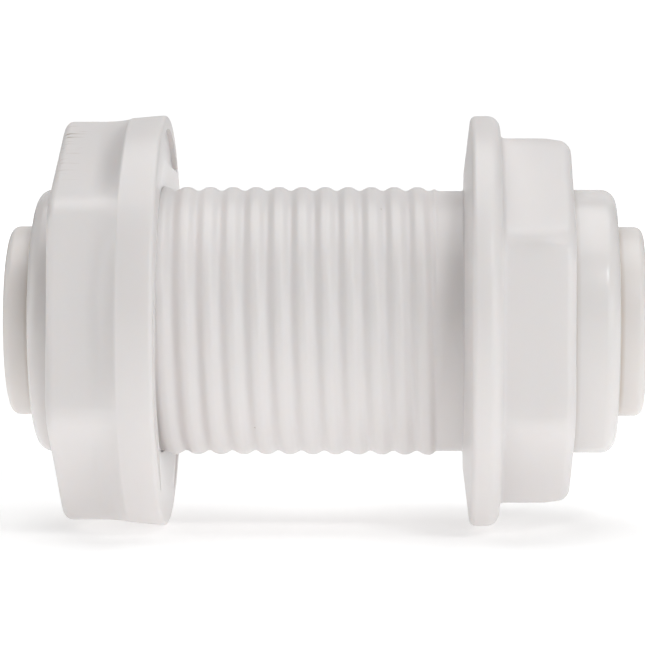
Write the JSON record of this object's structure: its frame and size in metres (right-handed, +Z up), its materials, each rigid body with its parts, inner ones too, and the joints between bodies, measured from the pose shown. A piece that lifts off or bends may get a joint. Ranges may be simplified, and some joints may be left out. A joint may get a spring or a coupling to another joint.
{
  "type": "thru hull fitting",
  "caption": "Push-fit bulkhead union with a threaded barrel, round hull flange, flanged hexagonal lock nut and a release collet at each tube port.",
  "frame": {"origin": "on the axis, level with the hull side edge of the flange's rim", "axes": "+X along the axis, from the threaded inboard end to the outboard end; +Z up, through a corner of the body's hexagon"},
  "size_m": [0.0695, 0.0454, 0.0454],
  "materials": {
    "moulded_white": "satin moulded white acetal with a fine mould grain",
    "cap_white": "satin moulded white acetal",
    "collet_white": "satin moulded off-white acetal",
    "seal_rubber": "greased black nitrile rubber",
    "tooth_steel": "stamped stainless steel"
  },
  "bodies": {
    "fitting": {"body": "moulded_white", "end_cap_inboard": "cap_white", "end_cap_outboard": "cap_white", "o_ring_inboard": "seal_rubber", "o_ring_outboard": "seal_rubber", "spacer_washer_inboard": "collet_white", "spacer_washer_outboard": "collet_white"},
    "nut": {"lock_nut": "moulded_white"},
    "inboard_collet": {"collet_inboard": "collet_white", "grab_tooth_inboard_1": "tooth_steel", "grab_tooth_inboard_2": "tooth_steel", "grab_tooth_inboard_3": "tooth_steel", "grab_tooth_inboard_4": "tooth_steel", "grab_tooth_inboard_5": "tooth_steel", "grab_tooth_inboard_6": "tooth_steel"},
    "outboard_collet": {"collet_outboard": "collet_white", "grab_tooth_outboard_1": "tooth_steel", "grab_tooth_outboard_2": "tooth_steel", "grab_tooth_outboard_3": "tooth_steel", "grab_tooth_outboard_4": "tooth_steel", "grab_tooth_outboard_5": "tooth_steel", "grab_tooth_outboard_6": "tooth_steel"}
  },
  "joints": [
    {"name": "lock_nut_travel", "type": "slide", "parent": "fitting", "child": "nut", "axis": [1, 0, 0], "range_m": [-0.00762, 0.03048]},
    {"name": "inboard_collet_release", "type": "slide", "parent": "fitting", "child": "inboard_collet", "axis": [1, 0, 0], "range_m": [0, 0.002]},
    {"name": "outboard_collet_release", "type": "slide", "parent": "fitting", "child": "outboard_collet", "axis": [-1, 0, 0], "range_m": [0, 0.002]}
  ]
}
